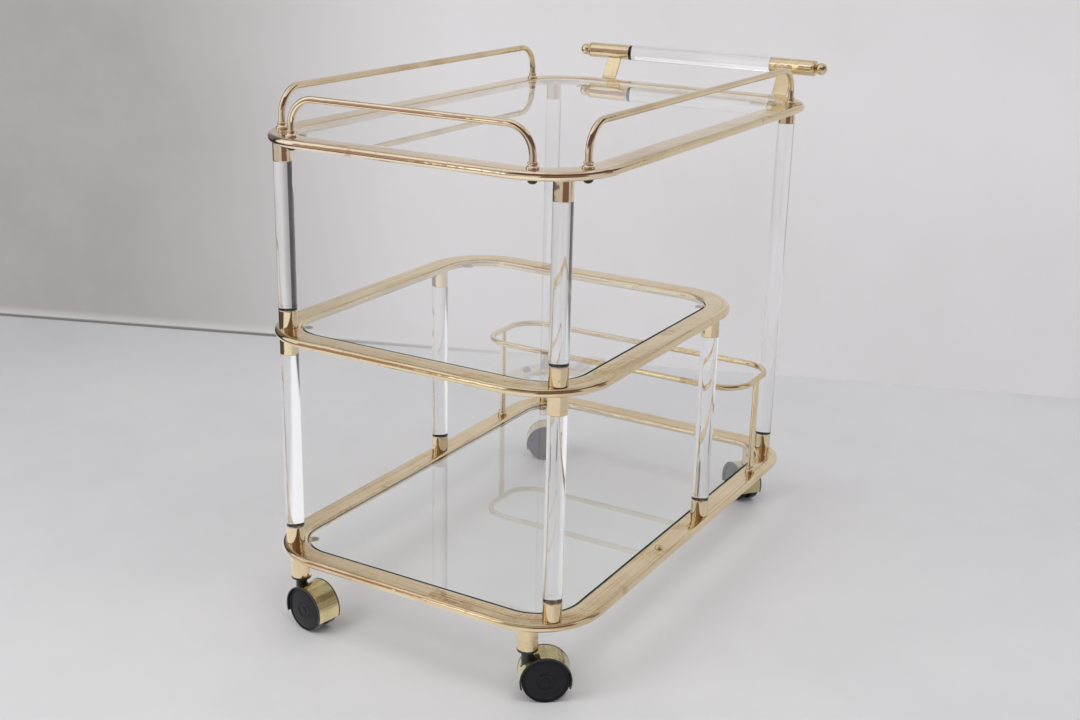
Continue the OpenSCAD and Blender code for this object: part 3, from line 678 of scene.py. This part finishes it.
# ---- Gallery rails ------------------------------------------------------------------
# Bent brass rod along the front and both sides of the top, with a turned collar round
# each foot and a dark cap nut on its thread below the frame.
rails = ["front_rail", "left_rail", "right_rail"]
rail_r, rail_bend_r, thread_r, thread_l, rod_steps = 4.5, 35, 2.5, 16, 32
rod_angles = [math.tau * step / rod_steps for step in range(rod_steps + 1)]
rod = [(rail_r * math.cos(angle), rail_r * math.sin(angle)) for angle in rod_angles]
for name in rails:
    low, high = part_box(name)
    foot_z, top_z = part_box("top_frame")[1].z / MM, high.z / MM - rail_r
    upright = top_z - foot_z - rail_bend_r
    if name == "front_rail":
        side, start, end = Vector((0, 1, 0)), low.y / MM + rail_r, high.y / MM - rail_r
        middle, axis = Vector(((low.x + high.x) / 2 / MM, 0, 0)), (-1, 0, 0)
    else:
        side, start, end = Vector((1, 0, 0)), low.x / MM + rail_r, high.x / MM - rail_r
        middle, axis = Vector((0, (low.y + high.y) / 2 / MM, 0)), (0, 1, 0)
    square = Vector(axis)
    foot = middle + side * start
    section = [foot + side * a + square * b + Vector((0, 0, foot_z)) for a, b in rod]
    rail = traced(name + "_rod", section)
    run(0, 0, upright)
    bend(middle + side * (start + rail_bend_r) + Vector((0, 0, top_z - rail_bend_r)), axis)
    run(*(side * (end - start - 2 * rail_bend_r)))
    bend(middle + side * (end - rail_bend_r) + Vector((0, 0, top_z - rail_bend_r)), axis)
    run(0, 0, -upright)
    closed(60)
    # both ends are turned down to the threads that run on through the frame
    bpy.ops.object.mode_set(mode="EDIT")
    bpy.ops.mesh.fill_holes(sides=0)
    choose(rail, "polygons", lambda face: len(face.vertices) > 8)
    bpy.ops.mesh.inset(thickness=(rail_r - thread_r) * MM)
    run(0, 0, -thread_l)
    closed(60)
    finished(rail, "trolley", brass, [name])
collar_bore = rail_r + 0.05
collar = turned("collar", [
    (collar_bore, 0), (8, 0), (8, 1.7), (7.7, 2.2), (6.7, 2.7), (5.9, 3.5), (5.5, 4.6),
    (5.6, 5.2), (6.1, 5.6), (6.3, 6.3), (6.2, 7.1), (5.8, 7.7), (5.2, 8), (collar_bore, 8),
    (collar_bore, 0)], 64)
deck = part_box("top_frame")[1].z
feet = []
for name in rails:
    low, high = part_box(name)
    span = 1 if name == "front_rail" else 0
    for side in (-1, 1):
        foot = (low + high) / 2
        foot[span] += side * ((high - low)[span] / 2 - rail_r * MM)
        feet.append((name + ("_foot_a" if side < 0 else "_foot_b"), foot.x, foot.y))
collars = copied(collar, [name + "_collar" for name, x, y in feet],
    [Matrix.Translation((x, y, deck)) for name, x, y in feet])
for piece in collars:
    finished(piece, "trolley", brass, ["rail_collars"])

# the nuts' dark metal is painted near black, as painted shade under the frame
nut_metal_and_shade, shade = new_material("dark_bronze")
spot = shade.point()
colour = spot.noise(160, 3).step(0.35, 0.65).mix((0.045, 0.042, 0.03), (0.085, 0.075, 0.05))
surface = shade.principled({
    "Base Color": colour,
    "Metallic": 0.8, "Roughness": spot.noise(90, 2).step(0.3, 0.7, 0.28, 0.42)})
shade.show(surface)
nut_bore, nut_r, hex_r, washer_t, hex_t, nut_h = 3.1, 7.75, 6.6, 1.1, 2.2, 6
washer = turned("cap_nut", [
    (nut_bore, 0), (nut_r, 0), (nut_r, -0.8 * washer_t), (nut_r - 0.3, -washer_t),
    (nut_bore, -washer_t), (nut_bore, 0)], 48)
dome = turned("dome", [(0, -washer_t - 1), (5.2, -washer_t - 1), (5.4, -washer_t - hex_t),
    (4.9, -washer_t - hex_t - 1), (3.6, -nut_h + 0.6), (1.9, -nut_h + 0.1), (0, -nut_h)], 48)
bpy.ops.object.select_all(action="DESELECT")
bpy.ops.mesh.primitive_cylinder_add(vertices=6, radius=hex_r * MM, depth=hex_t * MM,
    location=(0, 0, -(washer_t + hex_t / 2) * MM))
bpy.ops.object.transform_apply()
bpy.ops.object.mode_set(mode="EDIT")
bpy.ops.mesh.select_all(action="SELECT")
bpy.ops.mesh.bevel(offset=0.35 * MM, segments=2)
bpy.ops.object.mode_set(mode="OBJECT")
bpy.ops.object.shade_smooth_by_angle(angle=math.radians(35))
for part in (dome, washer):
    part.select_set(True)
bpy.context.view_layer.objects.active = washer
bpy.ops.object.join()
low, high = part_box("rack_uprights")
rack_x, rack_y = (low.x + high.x) / 2, high.y - rail_r * MM
rack_feet = [("rack_left", rack_x, -rack_y), ("rack_right", rack_x, rack_y)]
underside = [(name, x, y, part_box("top_frame")[0].z) for name, x, y in feet]
underside += [(name, x, y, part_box("bottom_frame")[0].z) for name, x, y in rack_feet]
for piece in copied(washer, [name + "_cap_nut" for name, x, y, z in underside],
        [Matrix.Translation((x, y, z)) for name, x, y, z in underside]):
    finished(piece, "trolley", nut_metal_and_shade, ["cap_nuts"])

# ---- Push handle --------------------------------------------------------------------
# A clear rod across the rear end in two turned brass sleeves with ball finials, on two
# bent brass strips screwed up under the top frame.
paint_cad(acrylic, "handle_rod")
paint_cad(steel, "bracket_screws")
low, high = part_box("handle_sleeves")
handle_x, handle_z, sleeve_end = (low.x + high.x) / 2, (low.z + high.z) / 2, high.y / MM
sleeve_r, sleeve_bore, sleeve_l = 12.25, 10.1, 73
sleeve = turned("sleeve", [(sleeve_bore, 0.05), (sleeve_r - 0.3, 0.05), (sleeve_r, 0.4),
    (sleeve_r, sleeve_l - 1.4), (sleeve_r - 0.5, sleeve_l - 0.6), (sleeve_r - 0.6, sleeve_l),
    (sleeve_bore, sleeve_l), (sleeve_bore, 0.05)])
ball_r, neck_r, ball_z = 9.5, 5.4, 11.4
ball = [(ball_r * math.cos(angle), ball_z + ball_r * math.sin(angle))
    for angle in [math.radians(-55 + 145 * step / 16) for step in range(17)]]
spigot_r, spigot_l = 10, 8
finial = turned("finial", [
    (0, -spigot_l), (spigot_r, -spigot_l), (spigot_r, 0), (sleeve_r - 0.9, 0),
    (sleeve_r - 0.2, 0.4), (sleeve_r, 1.2), (sleeve_r - 0.3, 2), (sleeve_r - 1, 2.5),
    (8.6, 2.9), (6.2, 3.1), (neck_r, 3.4)] + ball[:-1] + [(0, ball_z + ball_r)])
handle_middle = Matrix.Translation((handle_x, 0, handle_z))
along_handle = [handle_middle @ Matrix.Rotation(-side * math.pi / 2, 4, "X") for side in (-1, 1)]
for pattern, start, node in ((sleeve, sleeve_end - sleeve_l, "handle_sleeves"),
        (finial, sleeve_end, "handle_finials")):
    places = [place @ Matrix.Translation((0, 0, start * MM)) for place in along_handle]
    single = node.removesuffix("s")
    for piece in copied(pattern, ["left_" + single, "right_" + single], places):
        finished(piece, "trolley", brass, [node])

# Each strip lies flat under the frame, bends once and runs straight up to its sleeve.
strip_w, strip_t, strip_bend_r, strip_slope, strip_y = 25, 3, 20, 60, 154
low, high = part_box("handle_brackets")
slope = math.radians(strip_slope)
foot_z = low.z / MM + strip_t / 2
leg_rise = handle_z / MM - foot_z
tangent = strip_bend_r * math.tan(slope / 2)
bend_x = handle_x / MM - leg_rise / math.tan(slope) - tangent
leg = leg_rise / math.sin(slope) - tangent - sleeve_r + 0.4
strip = traced("bracket", [(low.x / MM, 0, foot_z + side * strip_t / 2) for side in (-1, 1)])
run(bend_x - low.x / MM, 0, 0)
bend((bend_x, 0, foot_z + strip_bend_r), (0, -1, 0), strip_slope, 16)
run(leg * math.cos(slope), 0, leg * math.sin(slope))
bpy.ops.mesh.select_all(action="SELECT")
run(0, strip_w, 0)
bpy.ops.mesh.select_all(action="SELECT")
bpy.ops.transform.translate(value=(0, -strip_w / 2 * MM, 0))
closed(30)
rounding = strip.modifiers.new("rounding", "BEVEL")
rounding.width, rounding.segments, rounding.angle_limit = 0.7 * MM, 3, math.radians(50)
bpy.ops.object.modifier_apply(modifier=rounding.name)
bpy.ops.object.shade_smooth_by_angle(angle=math.radians(35))
strip_places = [Matrix.Translation((0, side * strip_y * MM, 0)) for side in (-1, 1)]
for piece in copied(strip, ["left_bracket", "right_bracket"], strip_places):
    finished(piece, "trolley", brass, ["handle_brackets"])

# ---- Bottle rack --------------------------------------------------------------------
# A loop of brass rod brazed on two uprights, which stand in turned collars on the
# bottom frame. A small dome stud sits near the middle of the frame's left side.
paint_cad(brass, "rack_uprights")
ring_bend_r = 45
low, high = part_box("rack_ring")
hoop = level_loop("rack_hoop", rod, low, high, rail_r, ring_bend_r)
finished(hoop, "trolley", brass, ["rack_ring"])
rack_collar = turned("rack_collar", [(collar_bore, 0), (8, 0), (8, 3.4), (7.6, 4.2), (6.6, 4.8),
    (6.4, 5.6), (6.4, 8.4), (6.1, 9.4), (5.4, 10), (collar_bore, 10), (collar_bore, 0)], 64)
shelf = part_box("bottom_frame")[1].z
for piece in copied(rack_collar, [name + "_collar" for name, x, y in rack_feet],
        [Matrix.Translation((x, y, shelf)) for name, x, y in rack_feet]):
    finished(piece, "trolley", brass, ["rack_collars"])
low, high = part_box("dome_stud")
stud = turned("dome_stud_head", [(0, -3), (2.4, -3), (2.4, 0), (5.75, 0), (5.75, 0.8), (5.4, 2.1),
    (4.4, 3.5), (2.9, 4.5), (1.4, 4.9), (0, 5)], 64)
stud.data.transform(Matrix.Translation(((low.x + high.x) / 2, (low.y + high.y) / 2, shelf)))
finished(stud, "trolley", brass, ["dome_stud"])

# ---- Caster sockets -----------------------------------------------------------------
# Short brass tubes brazed under the bottom frame's corners. A black plastic bush is
# pressed into each one, and its flange shows below the tube.
caster_black, shade = new_material("caster_plastic")
spot = shade.point()
grain = shade.add("ShaderNodeBump", {
    "Height": spot.noise(900, 2), "Strength": 0.12, "Distance": 0.0004})
scuffs = spot.noise(45, 4, 0.6).step(0.45, 0.75)
surface = shade.principled({
    "Base Color": scuffs.mix((0.011, 0.011, 0.012), (0.022, 0.022, 0.024)),
    "Roughness": scuffs * 0.15 + 0.33, "Normal": grain})
shade.show(surface)
paint_cad(caster_black, "caster_bushes")
socket_r, socket_bore, socket_l = 13.5, 10, 29
socket = turned("socket", [
    (socket_bore, 0), (socket_r - 0.6, 0), (socket_r - 0.15, 0.25), (socket_r, 0.8),
    (socket_r, socket_l), (socket_bore, socket_l), (socket_bore, 0)])
casters = ["front_left", "front_right", "rear_left", "rear_right"]
joints = {joint["name"]: joint for joint in frame["joints"]}
socket_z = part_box("bottom_frame")[0].z - socket_l * MM
swivels = [Vector(joints[name + "_swivel_turn"]["pos_m"]) for name in casters]
for piece in copied(socket, [name + "_socket" for name in casters],
        [Matrix.Translation((place.x, place.y, socket_z)) for place in swivels]):
    finished(piece, "trolley", brass, ["caster_sockets"])

# ---- Casters ------------------------------------------------------------------------
# Twin-wheel casters. A moulded black body carries the stem's neck, the web between the
# wheels and the shell over them, and a thin brass hood is wrapped round the shell.
wheel_r, web_half, trail, hood_half = 31, 4.0, 23, 17.3


def caster_place(name, swivel):
    """From a caster's own axes, with x towards its axle and z up, to where it stands."""
    roll = joints[name + "_wheel_a_roll"]
    axle = Vector(roll["axis"]).normalized()
    out = Vector(roll["pos_m"]) - swivel
    out -= out.dot(axle) * axle
    out.z = 0
    out.normalize()
    turn = Matrix((out, Vector((0, 0, 1)).cross(out), (0, 0, 1))).transposed().to_4x4()
    return Matrix.Translation((swivel.x, swivel.y, 0)) @ turn


stands = [caster_place(name, swivel) for name, swivel in zip(casters, swivels)]
paint_cad(steel, *[name + piece for name in casters for piece in ("_stem", "_axle")])
paint_cad(caster_black, *[name + "_yoke" for name in casters])

hood_brass, shade = new_material("lacquered_brass")
spot = shade.point()
colour = spot.noise(34, 4).step(0.3, 0.7).mix((0.63, 0.54, 0.29), (0.53, 0.45, 0.235))
surface = shade.principled({
    "Base Color": colour, "Metallic": 1.0,
    "Roughness": spot.noise(60, 3).step(0.3, 0.7, 0.14, 0.24)})
shade.show(surface)
# the hood's strip, in mm and in degrees round the axle
hood_outer, hood_t, hood_low, hood_high, seam, neck_hole_r = 33.55, 0.7, -19, 199, 22, 8.35


def around_axle(radius, degrees):
    angle = math.radians(degrees)
    return (trail + radius * math.cos(angle), -hood_half, wheel_r + radius * math.sin(angle))


# the strip's end is folded under and spot welded, which shows as a groove and a low bead
profile = [(hood_outer, angle) for angle in range(hood_low, seam)]
profile += [
    (hood_outer, seam - 0.9), (hood_outer - 0.45, seam - 0.6), (hood_outer - 0.45, seam),
    (hood_outer + 0.1, seam + 0.4), (hood_outer + 0.22, seam + 1.6),
    (hood_outer + 0.22, seam + 3.6), (hood_outer, seam + 5.2)]
profile += [(hood_outer, angle) for angle in range(seam + 7, hood_high + 1, 2)]
profile += [(hood_outer - hood_t, angle) for angle in range(hood_high, hood_low - 1, -2)]
hood = traced("hood", [around_axle(radius, angle) for radius, angle in profile])
bpy.ops.mesh.edge_face_add()
run(0, 2 * hood_half, 0)
closed(30)


def from_axle(point):
    return math.hypot(point.x / MM - trail, point.z / MM - wheel_r)


choose(hood, "edges", lambda edge: abs(ends(hood, edge)[0].y - ends(hood, edge)[1].y) < MM
    and all(from_axle(end) > hood_outer - 0.5 for end in ends(hood, edge)))
bpy.ops.mesh.bevel(offset=0.2 * MM, segments=2)
closed(30)
bpy.ops.object.select_all(action="DESELECT")
bpy.ops.mesh.primitive_cylinder_add(vertices=64, radius=neck_hole_r * MM, depth=0.1)
neck_hole = bpy.context.object
hole = hood.modifiers.new("neck_hole", "BOOLEAN")
hole.operation, hole.object, hole.solver = "DIFFERENCE", neck_hole, "EXACT"
bpy.context.view_layer.objects.active = hood
bpy.ops.object.modifier_apply(modifier=hole.name)
bpy.data.objects.remove(neck_hole)
for piece, name in zip(copied(hood, [name + "_hood_strip" for name in casters], stands), casters):
    finished(piece, name + "_swivel", hood_brass, [name + "_hood"])

# The wheels are moulded in black plastic, with a tread, a shallow dished face and a cap
# pressed over the axle's head.
wheel_black, shade = new_material("wheel_plastic")
spot = shade.point()
grain = shade.add("ShaderNodeBump", {
    "Height": spot.noise(1100, 2), "Strength": 0.08, "Distance": 0.0003})
dust = spot.noise(38, 5, 0.65).step(0.48, 0.8)
surface = shade.principled({
    "Base Color": dust.mix((0.008, 0.0075, 0.009), (0.019, 0.018, 0.020)),
    "Specular IOR Level": 0.22, "Roughness": dust * 0.2 + 0.34, "Normal": grain})
shade.show(surface)
wheel = turned("wheel", [
    (0, 14.2), (3.6, 14.1), (4.9, 13.8), (5.4, 13.2), (10.2, 13.5), (10.8, 13.0),
    (11.4, 13.4), (18, 13.0), (24, 12.5), (27.6, 11.9), (28, 11.5), (28.4, 12.3),
    (29.8, 12.8), (30.6, 12.5), (31, 11.7), (31, 2), (30.4, 0.6), (29, 0), (3.1, 0),
    (3.1, 12.3), (4.8, 12.3), (4.8, 13.75), (0, 13.75)])
wheel_names, wheel_places = [], []
for name, stand in zip(casters, stands):
    axle = stand @ Matrix.Translation((trail * MM, 0, wheel_r * MM))
    for letter, quarter in (("a", math.pi / 2), ("b", -math.pi / 2)):
        wheel_names.append(f"{name}_wheel_{letter}")
        wheel_places.append(axle @ Matrix.Rotation(quarter, 4, "X")
            @ Matrix.Translation((0, 0, web_half * MM)))
wheels = copied(wheel, [name + "_tyre" for name in wheel_names], wheel_places)
for piece, name in zip(wheels, wheel_names):
    finished(piece, name, wheel_black, [name])
